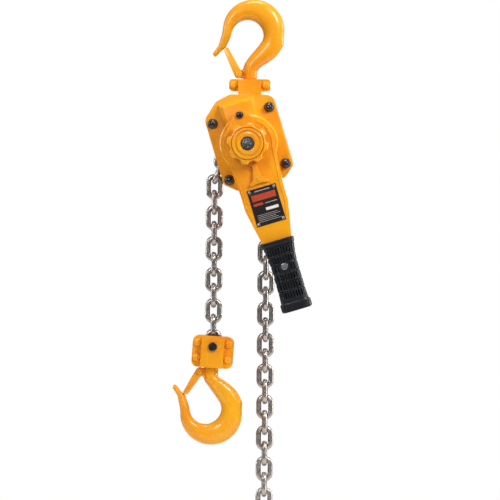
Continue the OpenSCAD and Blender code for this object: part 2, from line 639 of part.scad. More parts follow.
module lever_case_front() color(paint) in_body() difference() {
    union() {
        difference() {
            slab(case_in + 2.5, case_out) lever_shape(0, wrist_v, wrist_half_w);
            slab(case_in + 2, case_out - case_wall) lever_shape(case_wall, wrist_v + case_wall, wrist_half_w);
        }
        for (p = lever_screws) at(p) rod(case_in + 2.5, case_out - 1, 6.2);
    }
    translate([-core_half_w - 0.01, -arm_mid - 5.01, wrist_v - 1]) cube([2 * core_half_w + 0.02, 20, 30]);
    rod(0, 100, 16);
    at(selector_at) rod(0, 100, 6 + run);
    slab(0, 100) for (p = lever_screws) translate(p) circle(2.5);
}
module lever_bolts() color(black) in_body() for (p = lever_screws) {
    at(p) rod(case_in - 1, case_out, 2.5);
    if (p == lobe_at) head(p, case_out, 5.6, 4.5);
    at(p) slab(case_in - 1.2, case_in) circle(4.5);
}
module selector_knob() color(paint) in_body() at(selector_at) {
    slab(case_out + gap, case_out + 5.5) {
        circle(7);
        polygon([[-4, 17], [4, 17], [4.2, 6], [6, -1], [9.5, -7], [15, -12.4], [14.2, -14.6], [11.5, -14.8],
            [5, -13.2], [-5, -13.2], [-11.5, -14.8], [-14.2, -14.6], [-15, -12.4], [-9.5, -7], [-6, -1], [-4.2, 6]]);
    }
    slab(case_out + 5.4, case_out + 6.8) polygon([[-2.8, -4.6], [2.8, -4.6], [2.8, -10.2], [-2.8, -10.2]]);
    rod(wheel_in + 0.5, case_out + gap, 6);
}

// One arm of the shift pawl with its tooth in the change gear, seen from the selector's axis
function on_ray(r, w) = turn([r, w], -30) - selector_at;
horn = [on_ray(wheel_r - 2.2, -1.1), on_ray(wheel_r - 2.2, 1.1), on_ray(wheel_r + 2.5, 2.6),
    on_ray(wheel_r + 4.5, 2.6), [8.5, 2], [2, 8.5], on_ray(wheel_r + 2.5, -3.4)];
module shift_pawl() color(steel) in_body() at(selector_at)
    slab(wheel_in + 0.5, wheel_out - 0.5) difference() {
        union() {
            circle(9);
            for (m = [0, 1]) mirror([m, 0]) rotate(-engage_turn) polygon(horn);
        }
        circle(6);
    }
module name_plate() color(black) in_body() slab(case_out, case_out + 0.8) difference() {
    translate([-plate_w / 2, plate_top_v - plate_h]) square([plate_w, plate_h]);
    for (p = plate_rivets) translate(p) circle(1.2);
}
plate_rivets = [for (x = [-1, 1], y = [0, 1])
    [x * (plate_w / 2 - 3.5), plate_top_v - 3.5 - y * (plate_h - 7)]];
module name_plate_rivets() color(nickel) in_body() for (p = plate_rivets) {
    at(p) rod(case_out, case_out + 0.8, 1.2);
    head(p, case_out + 0.8, 2.3, 1);
}

// Rubber grip: flared top, waist and an end flange
module grip() color(black) in_body() difference() {
    slab(grip_in, grip_out) polygon(concat(
        [[-26.6, wrist_v + 0.3], [26.6, wrist_v + 0.3]],
        [for (i = [1:6]) let (t = i / 6) [26.6 - 5.8 * sin(90 * t), wrist_v - 40 * t]],
        [[21.4, -lever_length + 27], [22.2, -lever_length + 15], [24.3, -lever_length + 13], [24.3, -lever_length + 3],
         [21.5, -lever_length], [-21.5, -lever_length], [-24.3, -lever_length + 3], [-24.3, -lever_length + 13],
         [-22.2, -lever_length + 15], [-21.4, -lever_length + 27]],
        [for (i = [6:-1:1]) let (t = i / 6) [-26.6 + 5.8 * sin(90 * t), wrist_v - 40 * t]]));
    slab(arm_mid - 5, arm_mid + 5) polygon([[-core_half_w, wrist_v + 10], [core_half_w, wrist_v + 10],
        [core_half_w, core_foot], [-core_half_w, core_foot]]);
    slab(case_in, case_out) translate([-wrist_half_w, wrist_v]) square([2 * wrist_half_w, 3]);
    at([0, wrist_v - 42]) rod(0, 120, 3);
    at([0, wrist_v - 42]) rod(grip_out - 3, 120, 6);
}
module grip_screw() color(steel) in_body() at([0, wrist_v - 42]) {
    rod(grip_in + 3, grip_out - 3, 3);
    rod(grip_out - 3, grip_out - 0.4, 6);
}

// ---------- knob ----------

module free_wheel_knob() color(paint) in_body() difference() {
    union() {
        slab(knob_in, knob_out - 5) difference() {
            circle(knob_r);
            for (k = [0:7]) rotate(42.5 + 45 * k) translate([knob_r + 4, 0]) circle(9);
        }
        turned([[0, knob_out - 5], [knob_r - 4, knob_out - 5], [knob_r - 6, knob_out - 1], [24, knob_out],
            [20, knob_out - 1.5], [18, knob_out - 1.5], [17, knob_out + 0.4], [11.4, knob_out + 0.4], [0, knob_out + 0.4]]);
        rod(wheel_out + 0.5, knob_in, 12);
    }
    rod(0, 150, shaft_r + run);
    rod(knob_in + 2, 150, recess_r);
}
module free_spring() color(steel) in_body() coil(washer_in - 4.8, washer_in, 8.7, 0.7, 2);
module shaft_nut() color(steel) in_body() difference() {
    union() {
        rod(washer_in, washer_in + 1.5, recess_r - 0.6);
        slab(washer_in + 1.4, shaft_end - 0.5) circle(8, $fn = 6);
    }
    rod(0, 150, thread_r);
    for (a = [0:60:120]) rotate([0, a, 0]) translate([-20, -shaft_end - 1, -1.3]) cube([40, 4.6, 2.6]);
}

// ---------- chains ----------

hook_joint = [body_x - flat_seat, body_z + flat_span / 2];
tail_joint = [body_x + flat_seat, hook_joint[1]];
module chain_on_sheave() color(nickel) translate([body_x, 0, body_z])
    for (a = [-45, 0, 45]) rotate([0, a, 0]) translate([0, 0, a == 0 ? flat_seat : standing_seat])
        rotate([0, 90, 0]) link(a == 0);
module chain_lead_links() color(nickel) at(hook_joint) rotate([0, lead_tilt, 0]) strand(3, true);
module hook_strand() color(nickel) translate([strand_x, 0, chain_end_z]) strand(hook_links, false);
module tail_strand() color(nickel) at(tail_joint) strand(tail_links, true);
ring_r = 20;
ring_wire_r = 3.5;
module tail_ring() color(nickel)
    at([tail_joint[0], tail_joint[1] - flat_span / 2 - pitch * (tail_links - 0.5) - slack / 2
        - ring_r + ring_wire_r + 0.1])
    rotate([0, 90, 0]) rotate_extrude() translate([ring_r, 0]) circle(ring_wire_r);

top_hook();
top_latch();
top_latch_pin();
top_latch_spring();
top_yoke_front();
top_yoke_back();
top_yoke_rivets();
top_pin();
side_plate_front();
side_plate_back();
brake_cover();
gear_case();
stay_bolts();
front_dome_nuts();
back_dome_nuts();
hook_side_guide();
tail_side_guide();
chain_stripper();
sheave_bearing_front();
sheave_bearing_back();
load_sheave();
load_gear();
intermediate_gear_a();
intermediate_gear_b();
drive_shaft();
friction_hub();
friction_disc_inner();
friction_disc_outer();
ratchet_disc();
pawl_a();
pawl_b();
pawl_pins();
drive_nut();
lever_case_front();
lever_case_back();
lever_bolts();
selector_knob();
shift_pawl();
name_plate();
name_plate_rivets();
grip();
grip_screw();
free_wheel_knob();
free_spring();
shaft_nut();
chain_on_sheave();
chain_lead_links();
hook_strand();
tail_strand();
tail_ring();
bottom_yoke_front();
bottom_yoke_back();
bottom_yoke_rivets();
chain_pin();
bottom_hook();
bottom_latch();
bottom_latch_pin();
bottom_latch_spring();
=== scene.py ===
# Looks of the lever chain hoist: skins, fittings, chain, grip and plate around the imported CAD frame.
import json
import math

import bmesh
import bpy
import numpy as np
from mathutils import Matrix, Vector


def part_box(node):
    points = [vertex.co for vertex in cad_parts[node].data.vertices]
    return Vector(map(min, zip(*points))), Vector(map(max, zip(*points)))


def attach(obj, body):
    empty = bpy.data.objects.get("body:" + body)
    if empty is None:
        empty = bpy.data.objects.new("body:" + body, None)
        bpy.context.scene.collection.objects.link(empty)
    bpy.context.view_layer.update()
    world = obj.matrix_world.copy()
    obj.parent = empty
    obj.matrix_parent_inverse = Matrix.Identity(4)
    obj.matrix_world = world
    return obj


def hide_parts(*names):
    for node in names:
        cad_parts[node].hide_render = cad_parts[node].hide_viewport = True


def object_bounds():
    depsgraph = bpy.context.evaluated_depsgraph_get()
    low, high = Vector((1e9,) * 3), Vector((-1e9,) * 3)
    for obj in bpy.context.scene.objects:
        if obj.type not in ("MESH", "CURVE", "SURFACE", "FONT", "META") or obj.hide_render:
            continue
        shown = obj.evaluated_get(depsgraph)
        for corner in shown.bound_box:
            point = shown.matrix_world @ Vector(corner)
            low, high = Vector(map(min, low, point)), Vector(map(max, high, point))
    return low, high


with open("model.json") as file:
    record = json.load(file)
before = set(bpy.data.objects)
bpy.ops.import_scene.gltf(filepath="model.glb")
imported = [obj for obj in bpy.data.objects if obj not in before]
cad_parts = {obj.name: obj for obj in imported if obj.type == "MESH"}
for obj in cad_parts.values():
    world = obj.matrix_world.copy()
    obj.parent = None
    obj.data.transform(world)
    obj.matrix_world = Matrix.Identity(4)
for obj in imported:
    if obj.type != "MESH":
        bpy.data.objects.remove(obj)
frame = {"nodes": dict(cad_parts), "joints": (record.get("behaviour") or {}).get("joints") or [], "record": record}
cad_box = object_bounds()
NODES = frame["nodes"]
JOINTS = {j["name"]: j for j in frame["joints"]}
BODY_OF = {n: b for b, ns in frame["record"]["behaviour"]["bodies"].items() for n in ns}
SLOT_OF = {s["node"]: s["material_slot"] for s in frame["record"]["subparts"]}
MM = 0.001


# ---------- materials ----------

class Build:
    """A node material, made one node at a time."""

    def __init__(self, name):
        self.m = bpy.data.materials.new(name)
        self.m.use_nodes = True
        self.t = self.m.node_tree
        self.bsdf = self.t.nodes["Principled BSDF"]

    def node(self, kind, inputs=None, **props):
        n = self.t.nodes.new(kind)
        for k, v in props.items():
            setattr(n, k, v)
        for k, v in (inputs or {}).items():
            if isinstance(v, bpy.types.NodeSocket):
                self.t.links.new(v, n.inputs[k])
            else:
                n.inputs[k].default_value = v
        return n

    def at(self):
        return self.node("ShaderNodeNewGeometry").outputs["Position"]

    def noise(self, scale, detail=3.0, rough=0.5, where=None):
        return self.node("ShaderNodeTexNoise", {"Vector": where or self.at(), "Scale": scale, "Detail": detail,
                                                "Roughness": rough}).outputs["Fac"]

    def ramp(self, fac, stops):
        n = self.node("ShaderNodeValToRGB", {"Fac": fac})
        while len(n.color_ramp.elements) < len(stops):
            n.color_ramp.elements.new(0.5)
        for e, (p, c) in zip(n.color_ramp.elements, stops):
            e.position, e.color = p, (*c, 1) if len(c) == 3 else c
        return n.outputs["Color"]

    def range(self, fac, a, b, lo=0.0, hi=1.0):
        return self.node("ShaderNodeMapRange", {"Value": fac, "From Min": lo, "From Max": hi,
                                                "To Min": a, "To Max": b}).outputs[0]

    def mix(self, fac, a, b, kind="MIX"):
        n = self.node("ShaderNodeMix", data_type="RGBA", blend_type=kind)
        for key, v in ((0, fac), (6, a), (7, b)):
            if isinstance(v, bpy.types.NodeSocket):
                self.t.links.new(v, n.inputs[key])
            else:
                n.inputs[key].default_value = v if key == 0 else (*v, 1)
        return n.outputs[2]

    def set(self, **k):
        for name, v in k.items():
            s = self.bsdf.inputs[name.replace("_", " ")]
            if isinstance(v, bpy.types.NodeSocket):
                self.t.links.new(v, s)
            else:
                s.default_value = v
        return self

    def bump(self, height, distance, strength=1.0):
        n = self.node("ShaderNodeBump", {"Height": height, "Distance": distance, "Strength": strength})
        self.t.links.new(n.outputs["Normal"], self.bsdf.inputs["Normal"])
        return self


def edges(b, lo=0.51, hi=0.56):
    """1 on convex edges, 0 on flats and in hollows."""
    p = b.node("ShaderNodeNewGeometry").outputs["Pointiness"]
    return b.range(p, 0.0, 1.0, lo, hi)


def make_paint(name, deep, tone, light, peel):
    b = Build(name)
    broad = b.noise(14, 3)
    base = b.ramp(broad, [(0.3, deep), (0.52, tone), (0.75, light)])
    fine = b.noise(900, 2)
    base = b.mix(b.range(fine, 0.0, 0.14, 0.4, 0.75), base, deep)
    # Painted highlight: convex edges are mixed towards a lighter yellow, broken up by noise.
    painted_edge_highlight = b.node("ShaderNodeMath", {0: edges(b, 0.53, 0.60), 1: b.range(b.noise(160, 5, 0.65), 0, 1, 0.5, 0.68)},
                  operation="MULTIPLY").outputs[0]
    base = b.mix(b.range(painted_edge_highlight, 0.0, 0.6), base, (1.0, 0.62, 0.14))
    # Painted shade: hollows and creases are mixed towards a dark brown.
    base = b.mix(b.range(edges(b, 0.40, 0.485), 0.75, 0.0), base, (0.30, 0.075, 0.004))
    b.set(Base_Color=base, Roughness=b.range(b.noise(60, 4), 0.24, 0.38, 0.3, 0.7), Coat_Weight=0.4,
          Coat_Roughness=0.08, Specular_IOR_Level=0.35)
    return b.bump(b.noise(peel, 2), 0.00012, 0.5).m


def make_metal(name, dark, light, rough, scratch=(1, 1, 1)):
    b = Build(name)
    mapping = b.node("ShaderNodeMapping", {"Vector": b.at(), "Scale": scratch}).outputs[0]
    grain = b.noise(420, 4, 0.6, mapping)
    broad = b.noise(38, 4, 0.6)
    colour = b.ramp(broad, [(0.3, dark), (0.7, light)])
    # Painted shade: hollows are mixed towards a much darker tone of the metal.
    colour = b.mix(b.range(edges(b, 0.40, 0.48), 0.7, 0.0), colour, tuple(c * 0.2 for c in dark))
    b.set(Base_Color=colour, Metallic=1.0, Roughness=b.range(grain, rough, rough + 0.14, 0.3, 0.7))
    return b.bump(grain, 0.000004, 0.05).m


PAINT = make_paint("paint", (0.86, 0.285, 0.004), (0.91, 0.370, 0.005), (0.94, 0.420, 0.006), 520)
PAINT_CAST = make_paint("paint_cast", (0.84, 0.270, 0.004), (0.91, 0.365, 0.005), (0.95, 0.430, 0.007), 260)
CHAIN = make_metal("chain_nickel", (0.42, 0.375, 0.35), (0.52, 0.47, 0.44), 0.22)
STEEL = make_metal("steel", (0.36, 0.37, 0.38), (0.52, 0.52, 0.53), 0.28)
BRIGHT = make_metal("bright_steel", (0.5, 0.51, 0.53), (0.72, 0.72, 0.73), 0.14, (1, 1, 8))


def make_black():
    b = Build("black_hardware")
    colour = b.ramp(b.noise(220, 4), [(0.35, (0.008, 0.008, 0.010)), (0.8, (0.030, 0.028, 0.030))])
    b.set(Base_Color=colour, Roughness=b.range(b.noise(300, 3), 0.07, 0.14, 0.3, 0.7), Specular_IOR_Level=0.6)
    return b.bump(b.noise(700, 2), 0.00004, 0.4).m


def make_lining():
    b = Build("friction_lining")
    speck = b.noise(1600, 4, 0.7)
    b.set(Base_Color=b.ramp(speck, [(0.4, (0.05, 0.035, 0.025)), (0.62, (0.16, 0.11, 0.08))]), Roughness=0.85)
    return b.bump(speck, 0.0001).m


def make_rubber():
    b = Build("rubber")
    fine = b.noise(1500, 4, 0.6)
    dust = b.noise(70, 4, 0.6)
    b.set(Base_Color=b.mix(b.range(dust, 0.0, 0.4, 0.45, 0.75), (0.004, 0.005, 0.008), (0.012, 0.014, 0.019)),
          Roughness=b.range(fine, 0.26, 0.40, 0.3, 0.7), Specular_IOR_Level=0.5)
    return b.bump(fine, 0.00008, 0.6).m


def make_plate(name, a, c, rough=0.35):
    b = Build(name)
    fine = b.noise(500, 4, 0.6)
    b.set(Base_Color=b.ramp(fine, [(0.35, a), (0.7, c)]), Roughness=b.range(fine, rough, rough + 0.15, 0.3, 0.7),
          Specular_IOR_Level=0.25)
    return b.bump(fine, 0.00003, 0.4).m


NUT = make_metal("nut_steel", (0.16, 0.17, 0.19), (0.30, 0.31, 0.33), 0.25)
BLACK, LINING, RUBBER = make_black(), make_lining(), make_rubber()
PLATE = make_plate("nameplate", (0.010, 0.008, 0.010), (0.024, 0.018, 0.022))
BAR_RED = make_plate("plate_red", (0.42, 0.045, 0.018), (0.62, 0.085, 0.03))
BAR_GREY = make_plate("plate_grey", (0.30, 0.27, 0.25), (0.48, 0.44, 0.40))
BAR_WHITE = make_plate("plate_white", (0.72, 0.70, 0.66), (0.88, 0.86, 0.82))
OF_SLOT = {"paint": PAINT, "chain": CHAIN, "black_hardware": BLACK, "steel": STEEL, "friction_lining": LINING,
           "nameplate": PLATE, "rubber": RUBBER}
for n, o in NODES.items():
    o.data.materials.clear()
    o.data.materials.append(OF_SLOT[SLOT_OF[n]])
    for p in o.data.polygons:
        p.use_smooth = False


# ---------- mesh helpers ----------

def link(name, mesh, mat, body, nodes=()):
    o = bpy.data.objects.new(name, mesh)
    bpy.context.scene.collection.objects.link(o)
    mesh.materials.clear()
    mesh.materials.append(mat)
    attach(o, body)
    if nodes:
        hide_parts(*nodes)
    return o


def smooth(mesh, angle):
    """Smooth shading, with the edges sharper than the angle marked sharp."""
    bm = bmesh.new()
    bm.from_mesh(mesh)
    for f in bm.faces:
        f.smooth = True
    for e in bm.edges:
        e.smooth = len(e.link_faces) == 2 and e.calc_face_angle(0) < math.radians(angle)
    bm.to_mesh(mesh)
    bm.free()
    return mesh


def bake(o, *mods):
    """The object's mesh with these modifiers applied, as a new mesh."""
    for kind, props in mods:
        m = o.modifiers.new(kind, kind)
        for k, v in props.items():
            setattr(m, k, v)
    bpy.context.view_layer.update()
    mesh = bpy.data.meshes.new_from_object(o.evaluated_get(bpy.context.evaluated_depsgraph_get()))
    bpy.data.objects.remove(o)
    return mesh


def copy_of(node):
    """A welded copy of a CAD node's mesh with its flat faces joined up."""
    bm = bmesh.new()
    bm.from_mesh(NODES[node].data)
    bmesh.ops.remove_doubles(bm, verts=bm.verts, dist=2e-6)
    bmesh.ops.dissolve_limit(bm, angle_limit=math.radians(0.4), verts=bm.verts, edges=bm.edges)
    mesh = bpy.data.meshes.new("m")
    bm.to_mesh(mesh)
    bm.free()
    o = bpy.data.objects.new("tmp", mesh)
    bpy.context.scene.collection.objects.link(o)
    return o


def skin(node, width, segments=3, mat=None, angle=28, sharp=24):
    """Stands for a CAD node with its edges rounded."""
    mesh = bake(copy_of(node), ("BEVEL", dict(width=width * MM, segments=segments, limit_method="ANGLE",
                                              angle_limit=math.radians(angle), harden_normals=False,
                                              use_clamp_overlap=True, miter_outer="MITER_ARC")))
    smooth(mesh, sharp)
    mesh.name = node + "_skin"
    return link(node + "_skin", mesh, mat or OF_SLOT[SLOT_OF[node]], BODY_OF[node], (node,))


def forged(node, voxel, rounds, mat):
    """Stands for a CAD node as a forging: one skin with every corner run together."""
    mesh = bake(copy_of(node), ("REMESH", dict(mode="VOXEL", voxel_size=voxel * MM)),
                ("CORRECTIVE_SMOOTH", dict(iterations=rounds, factor=0.5, smooth_type="SIMPLE",
                                           use_only_smooth=True)))
    for p in mesh.polygons:
        p.use_smooth = True
    mesh.name = node + "_skin"
    return link(node + "_skin", mesh, mat, BODY_OF[node], (node,))


def tube(points, radii, sides):
    """Rings along a closed loop of points: vertices and faces of a round bar."""
    n = len(points)
    pts = [Vector(p) for p in points]
    verts, faces = [], []
    axis = Vector((0, 1, 0))
    for i, p in enumerate(pts):
        t = (pts[(i + 1) % n] - pts[(i - 1) % n]).normalized()
        s = t.cross(axis).normalized()
        u = s.cross(t)
        for k in range(sides):
            w = 2 * math.pi * k / sides
            verts.append(p + radii[i] * (math.cos(w) * s + math.sin(w) * u))
    for i in range(n):
        j = (i + 1) % n
        for k in range(sides):
            m = (k + 1) % sides
            faces.append((i * sides + k, i * sides + m, j * sides + m, j * sides + k))
    return verts, faces


def build(name, verts, faces, sharp=None):
    mesh = bpy.data.meshes.new(name)
    mesh.from_pydata([tuple(v) for v in verts], [], faces)
    bm = bmesh.new()
    bm.from_mesh(mesh)
    bmesh.ops.recalc_face_normals(bm, faces=bm.faces)
    bm.to_mesh(mesh)
    bm.free()
    if sharp is None:
        for p in mesh.polygons:
            p.use_smooth = True
    else:
        smooth(mesh, sharp)
    return mesh


def grid_faces(rows, cols):
    """Faces of a tube made of rows of points, each row closed on itself."""
    return [(r * cols + c, r * cols + (c + 1) % cols, (r + 1) * cols + (c + 1) % cols, (r + 1) * cols + c)
            for r in range(rows - 1) for c in range(cols)]


# ---------- where things are ----------

SHAFT = Vector(JOINTS["lever_swing"]["pos_m"])
UP = (Vector(JOINTS["gear_a_turn"]["pos_m"]) - Vector(JOINTS["gear_b_turn"]["pos_m"])).normalized()
ACROSS = Vector((UP.z, 0, -UP.x))


def on_body(u, v, d):
    """A point in metres from millimetres across, along and out of the body."""
    return SHAFT + MM * (float(u) * ACROSS + float(v) * UP + float(d) * Vector((0, -1, 0)))


CASE_OUT = -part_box("lever_case_front")[0].y / MM
PLATE_OUT = -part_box("name_plate")[0].y / MM
KNOB_OUT = -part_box("free_wheel_knob")[0].y / MM

# ---------- skins of the castings and pressings ----------

for node in ("side_plate_front", "side_plate_back"):
    skin(node, 0.8, 2)
for node in ("brake_cover", "gear_case"):
    skin(node, 1.1, 3)
for node in ("top_yoke_front", "top_yoke_back", "bottom_yoke_front", "bottom_yoke_back"):
    skin(node, 2.6, 4, PAINT_CAST)
for node in ("top_yoke_rivets", "bottom_yoke_rivets", "top_latch", "bottom_latch",
             "top_latch_pin", "bottom_latch_pin"):
    skin(node, 0.6, 2)
skin("lever_case_back", 0.7, 2)
skin("lever_case_front", 2.2, 4, PAINT_CAST)
skin("selector_knob", 1.2, 3, PAINT_CAST)
for node in ("front_dome_nuts", "back_dome_nuts", "lever_bolts", "chain_pin"):
    skin(node, 0.5, 2, angle=50, sharp=50)
skin("shaft_nut", 0.35, 2, NUT)
skin("name_plate", 0.2, 2)
skin("grip_screw", 1.3, 4, BRIGHT, angle=50, sharp=60)
skin("drive_shaft", 0.3, 2, NUT)
# The two flush bolts beside the nameplate are painted over; the others stay black.
PAINTED_BELOW = -80
lever_bolts = bpy.data.objects["lever_bolts_skin"]
lever_bolts.data.materials.append(PAINT)
for p in lever_bolts.data.polygons:
    along = (lever_bolts.matrix_world @ p.center - SHAFT).dot(UP) / MM
    p.material_index = 1 if along < PAINTED_BELOW else 0
for node in ("top_hook", "bottom_hook"):
    forged(node, 0.75, 14, PAINT_CAST)

# ---------- knob and the rims of the lever case ----------

KNOB_R, HOLLOW_AT, HOLLOW_R = 32.4, 36.5, 9.0
FIRST_HOLLOW, HOLLOW_STEP = 42.5, 45


def lobed(a):
    """Radius of the knob's outline at an angle in degrees."""
    off = (a - FIRST_HOLLOW + HOLLOW_STEP / 2) % HOLLOW_STEP - HOLLOW_STEP / 2
    s = HOLLOW_AT * math.sin(math.radians(off))
    if abs(s) >= HOLLOW_R:
        return KNOB_R
    return min(KNOB_R, HOLLOW_AT * math.cos(math.radians(off)) - math.sqrt(HOLLOW_R * HOLLOW_R - s * s))


KNOB_SHIFT = 98.4 - KNOB_OUT


def knob_mesh():
    inner = [(10.4, 81), (10.4, 96.2), (11.0, 97.9), (11.9, 98.3), (16.2, 98.2), (17.2, 97.2), (18.2, 96.4),
             (19.8, 96.4), (20.6, 97.2), (23.4, 97.5), (24.1, 97.1), (24.4, 94.9), (25.3, 94.9), (25.6, 96.4),
             (26.5, 96.3)]
    edge = [(0.35, 95.9), (0.65, 95.0), (0.85, 93.9), (0.96, 92.6), (1.0, 91.2), (1.0, 80.0), (0.97, 78.3)]
    back = [(14.0, 78.1), (12.0, 77.8), (12.0, 62.7), (7.1, 62.7), (7.1, 80.0), (10.2, 80.05)]
    cols = 224
    verts = []
    for k in range(cols):
        a = 360 * k / cols
        out = np.mean([lobed(a + d) for d in (-1.6, -0.8, 0, 0.8, 1.6)])
        for r, d in inner + [(26.5 + (out - 26.5) * t, d) for t, d in edge] + back:
            verts.append(on_body(r * math.cos(math.radians(a)), r * math.sin(math.radians(a)), d - KNOB_SHIFT))
    n = len(inner) + len(edge) + len(back)
    faces = [(k * n + i, k * n + (i + 1) % n, ((k + 1) % cols) * n + (i + 1) % n, ((k + 1) % cols) * n + i)
             for k in range(cols) for i in range(n)]
    return build("free_wheel_knob_cast", verts, faces, 38)


link("free_wheel_knob_cast", knob_mesh(), PAINT_CAST, "knob", ("free_wheel_knob",))


def polar(r, a, c=(0, 0)):
    return c[0] + r * math.cos(math.radians(a)), c[1] + r * math.sin(math.radians(a))


CASE_R, ARM_HALF_W = 41, 34


def case_edge(side, inset):
    """The lever case's edge down one side, drawn in by an inset: across and along in millimetres."""
    r, w = CASE_R - inset, ARM_HALF_W - inset
    turn = range(52, -21, -4) if side > 0 else range(160, 201, 4)
    top = [] if side > 0 else [polar(8.5 - inset, 150, (0, 45.7))]
    return top + [polar(r, a) for a in turn] + [(side * w, -75), (side * w, -100), (side * (w - 4.4), -122)]


def rim(name, side, near, far, height):
    """A raised band on the lever case that follows its edge."""
    cuts = [(near, -0.1), (near + 0.5, height), (far - 0.5, height), (far, -0.1)]
    rows = [case_edge(side, i) for i, _ in cuts]
    n = len(rows[0])
    verts = [on_body(*rows[j][i], CASE_OUT + cuts[j][1]) for i in range(n) for j in range(4)]
    faces = grid_faces(n, 4)
    faces += [(0, 1, 2, 3), tuple((n - 1) * 4 + j for j in range(4))]
    return link(name, build(name, verts, faces, 30), PAINT_CAST, "lever")


rim("case_rim_right", 1, 2.6, 5.4, 1.0)
rim("case_rim_left", -1, 2.6, 4.6, 0.8)

# ---------- chain ----------

PITCH, WIRE, INSIDE, SLACK = 24.0, 8.0, 10.5, 0.25
LINK_SIDES = 20
BEND = (INSIDE + WIRE) / 2
STRAIGHT = PITCH + WIRE - 2 * BEND + SLACK


def link_shape():
    """One link about its own centre, long axis up, lying in the plane across, with a weld on one side."""
    pts, radii = [], []
    arc = 22
    for end in (1, -1):
        for i in range(arc + 1):
            a = math.pi * i / arc + (0 if end > 0 else math.pi)
            pts.append((BEND * math.cos(a), 0, end * STRAIGHT / 2 + BEND * math.sin(a)))
            radii.append(WIRE / 2 * 0.995)
        side = -1 if end > 0 else 1
        for t in (-0.42, -0.16, -0.10, -0.05, 0.0, 0.05, 0.10, 0.16, 0.42):
            pts.append((side * BEND, 0, side * t * STRAIGHT))
            weld = side < 0 and abs(t) < 0.12
            radii.append(WIRE / 2 * (1.0 if weld and abs(t) < 0.02 else 0.965 if weld else 0.995))
    return pts, radii


def chain_piece(name, nodes, body, places):
    """places: centre, direction down the chain and whether the link stands across."""
    pts, radii = link_shape()
    base, faces = tube([Vector(p) * MM for p in pts], [r * MM for r in radii], LINK_SIDES)
    verts, all_faces = [], []
    for centre, down, across in places:
        z = -Vector(down).normalized()
        side = z.cross(Vector((0, 1, 0))).normalized() * -1
        y = Vector((0, 1, 0))
        x, w = (side, y) if not across else (y, side)
        m = Matrix((x, w, z)).transposed()
        start = len(verts)
        verts += [Vector(centre) + m @ Vector(v) for v in base]
        all_faces += [tuple(i + start for i in f) for f in faces]
    return link(name, build(name, verts, all_faces), CHAIN, body, nodes)


def run_of(start, down, count, first_across):
    """Links down from the centre of a standing link's round end."""
    d = Vector(down).normalized()
    first = (2 * PITCH - STRAIGHT if first_across else STRAIGHT) / 2
    return [(Vector(start) + d * MM * (first + PITCH * i), d, (i % 2 == 0) == first_across) for i in range(count)]


LEAD_AT = Vector(JOINTS["lead_swing"]["pos_m"])
HOOK_AT = Vector(JOINTS["hook_strand_swing"]["pos_m"])
TAIL_AT = Vector(JOINTS["tail_strand_swing"]["pos_m"])
CHAIN_PIN = Vector(JOINTS["bottom_yoke_swing"]["pos_m"])
hook_count = math.ceil((HOOK_AT.z - CHAIN_PIN.z) / (PITCH * MM))
tail_count = int((TAIL_AT.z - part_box("tail_strand")[0].z) / (PITCH * MM))
chain_piece("lead_links", ("chain_lead_links",), "lead", run_of(LEAD_AT, HOOK_AT - LEAD_AT, 3, True))
chain_piece("hook_side_links", ("hook_strand",), "hook_strand", run_of(HOOK_AT, (0, 0, -1), hook_count, False))
chain_piece("tail_side_links", ("tail_strand",), "tail_strand", run_of(TAIL_AT, (0, 0, -1), tail_count, True))
smooth(NODES["chain_on_sheave"].data, 40)
smooth(NODES["tail_ring"].data, 40)

# ---------- nameplate ----------

PLATE_LOW, PLATE_HIGH = -128.0, -70.0


def bars(name, mat, rows, depth=0.12):
    """Plain raised bars on the plate: left, right, low and high in millimetres across and along the body."""
    verts, faces = [], []
    for u0, u1, v0, v1 in rows:
        s = len(verts)
        for d in (PLATE_OUT - 0.05, PLATE_OUT + depth):
            verts += [on_body(u0, v0, d), on_body(u1, v0, d), on_body(u1, v1, d), on_body(u0, v1, d)]
        faces += [tuple(s + i for i in f) for f in
                  ((0, 1, 2, 3), (4, 5, 6, 7), (0, 1, 5, 4), (1, 2, 6, 5), (2, 3, 7, 6), (3, 0, 4, 7))]
    return link(name, build(name, verts, faces, 20), mat, "lever")


bars("plate_band_red", BAR_RED, [(-19, 19, PLATE_HIGH - 19, PLATE_HIGH - 9.5),
                                 (-19, -4, PLATE_HIGH - 26.5, PLATE_HIGH - 22.5)])
bars("plate_lines_grey", BAR_GREY,
     [(-12, 12, PLATE_HIGH - 5, PLATE_HIGH - 3.4), (-1, 18, PLATE_HIGH - 25.6, PLATE_HIGH - 24.4)] +
     [(-18, 18 - 4 * (i % 3), PLATE_LOW + 6 + 2.6 * i, PLATE_LOW + 6.7 + 2.6 * i) for i in range(5)])
bars("plate_bar_white", BAR_WHITE, [(-2, 18, PLATE_LOW + 21.5, PLATE_LOW + 26)])

# ---------- grip ----------

grip_lo, grip_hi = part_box("grip")
CORE_D = (-grip_lo.y - grip_hi.y) / 2 / MM
GRIP_T = (grip_hi.y - grip_lo.y) / MM
END_V = -267.0
WRIST_V = -155.0


def grip_half(v):
    """Half width of the grip at a place along it."""
    stops = [(WRIST_V, 26.4), (WRIST_V - 6, 25.6), (WRIST_V - 14, 23.6), (WRIST_V - 28, 21.6), (WRIST_V - 42, 20.9),
             (END_V + 27, 21.2), (END_V + 15, 22.0), (END_V + 13.4, 23.6), (END_V + 12.2, 24.1), (END_V + 3, 24.1),
             (END_V + 1.0, 22.8), (END_V, 20.6)]
    return float(np.interp(-v, [-a for a, _ in stops], [b for _, b in stops]))


